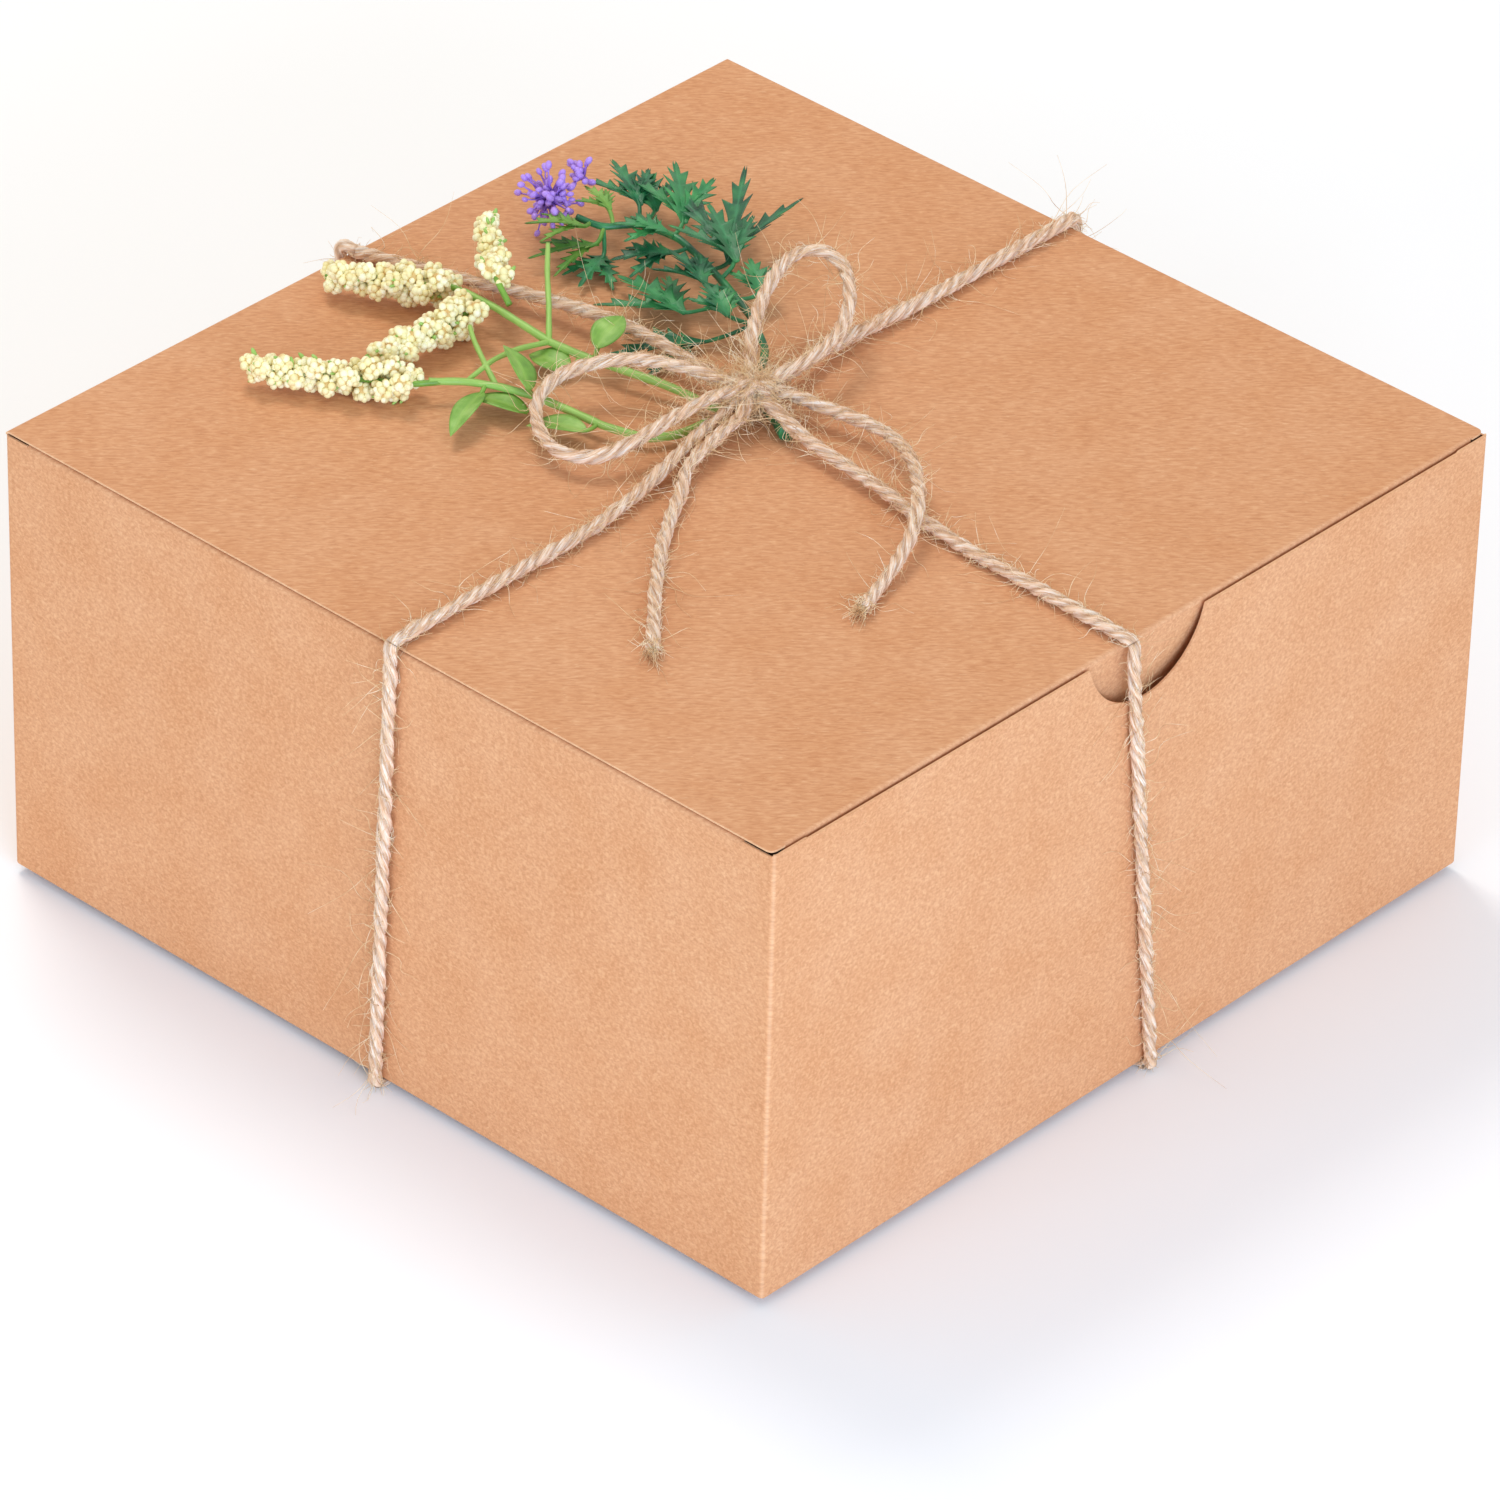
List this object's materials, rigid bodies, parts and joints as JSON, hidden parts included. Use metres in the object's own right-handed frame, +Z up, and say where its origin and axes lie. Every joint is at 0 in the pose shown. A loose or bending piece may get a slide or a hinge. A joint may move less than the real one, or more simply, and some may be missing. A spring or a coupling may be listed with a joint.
{
  "type": "gift box",
  "caption": "Square kraft carton with a rear-hinged tuck-in lid and lock bottom, tied crosswise with jute twine and a bow that holds two moulded flower sprigs.",
  "frame": {"origin": "on the floor, below the middle of the box", "axes": "+X to the right seen from the front wall, +Y to the rear, where the lid hinges, +Z up"},
  "size_m": [0.2094, 0.2094, 0.1207],
  "materials": {
    "kraft_board": "matte unbleached kraft board with fine fibres",
    "jute_twine": "rough twisted natural jute with loose fibres",
    "cream_blossom": "moulded cream-yellow beads, satin",
    "lime_leaf": "moulded bright green, satin",
    "dark_leaf": "moulded dark green, satin, paler ribs",
    "lavender": "moulded lavender filaments, satin"
  },
  "bodies": {
    "root": {"front_wall": "kraft_board", "rear_wall": "kraft_board", "left_wall": "kraft_board", "right_wall": "kraft_board", "glue_flap": "kraft_board", "bottom_tongue_flap": "kraft_board", "bottom_side_flap_left": "kraft_board", "bottom_side_flap_right": "kraft_board", "bottom_main_flap": "kraft_board", "twine_drop_left": "jute_twine", "twine_drop_right": "jute_twine", "twine_drop_front": "jute_twine", "twine_drop_rear": "jute_twine", "twine_under_across": "jute_twine", "twine_under_front": "jute_twine", "twine_under_rear": "jute_twine"},
    "lid": {"lid_panel": "kraft_board"},
    "tuck": {"tuck_flap": "kraft_board"},
    "dust_left": {"dust_flap_left": "kraft_board"},
    "dust_right": {"dust_flap_right": "kraft_board"},
    "decoration": {"twine_top_left": "jute_twine", "twine_top_right": "jute_twine", "twine_top_front": "jute_twine", "twine_top_rear": "jute_twine", "twine_knot": "jute_twine", "bow_loop_left": "jute_twine", "bow_loop_upper": "jute_twine", "bow_tail_left": "jute_twine", "bow_tail_right": "jute_twine", "cream_sprig_stem": "lime_leaf", "cream_blossom_left": "cream_blossom", "cream_blossom_middle": "cream_blossom", "cream_blossom_rear": "cream_blossom", "cream_blossom_upright": "cream_blossom", "cream_leaf_1": "lime_leaf", "cream_leaf_2": "lime_leaf", "cream_leaf_3": "lime_leaf", "cream_leaf_4": "lime_leaf", "cream_leaf_5": "lime_leaf", "cream_leaf_6": "lime_leaf", "dark_sprig_stem": "dark_leaf", "lavender_head": "lavender", "dark_leaf_1": "dark_leaf", "dark_leaf_2": "dark_leaf", "dark_leaf_3": "dark_leaf", "dark_leaf_4": "dark_leaf", "dark_leaf_5": "dark_leaf", "dark_leaf_6": "dark_leaf", "dark_leaf_7": "dark_leaf", "dark_leaf_8": "dark_leaf", "dark_leaf_9": "dark_leaf", "dark_leaf_10": "dark_leaf", "dark_leaf_11": "dark_leaf", "dark_leaf_12": "dark_leaf", "dark_leaf_13": "dark_leaf", "dark_leaf_14": "dark_leaf", "dark_leaf_15": "dark_leaf", "dark_leaf_16": "dark_leaf"}
  },
  "joints": [
    {"name": "lid_hinge", "type": "hinge", "parent": "root", "child": "lid", "pos_m": [0, 0.1016, 0.1035], "axis": [-1, 0, 0], "range_deg": [0, 120]},
    {"name": "tuck_fold", "type": "hinge", "parent": "lid", "child": "tuck", "pos_m": [0, -0.1007, 0.1035], "axis": [-1, 0, 0], "range_deg": [0, 66]},
    {"name": "dust_left_fold", "type": "hinge", "parent": "root", "child": "dust_left", "pos_m": [-0.1016, 0, 0.1026], "axis": [0, -1, 0], "range_deg": [0, 105]},
    {"name": "dust_right_fold", "type": "hinge", "parent": "root", "child": "dust_right", "pos_m": [0.1016, 0, 0.1026], "axis": [0, 1, 0], "range_deg": [0, 105]},
    {"name": "decoration_lift", "type": "slide", "parent": "lid", "child": "decoration", "axis": [0, 0, 1], "range_m": [0, 0.12]}
  ],
  "couplings": [
    {"joint": "tuck_fold", "follows": "lid_hinge", "ratio": 0.55},
    {"joint": "dust_left_fold", "follows": "lid_hinge", "ratio": 0.875},
    {"joint": "dust_right_fold", "follows": "lid_hinge", "ratio": 0.875}
  ]
}
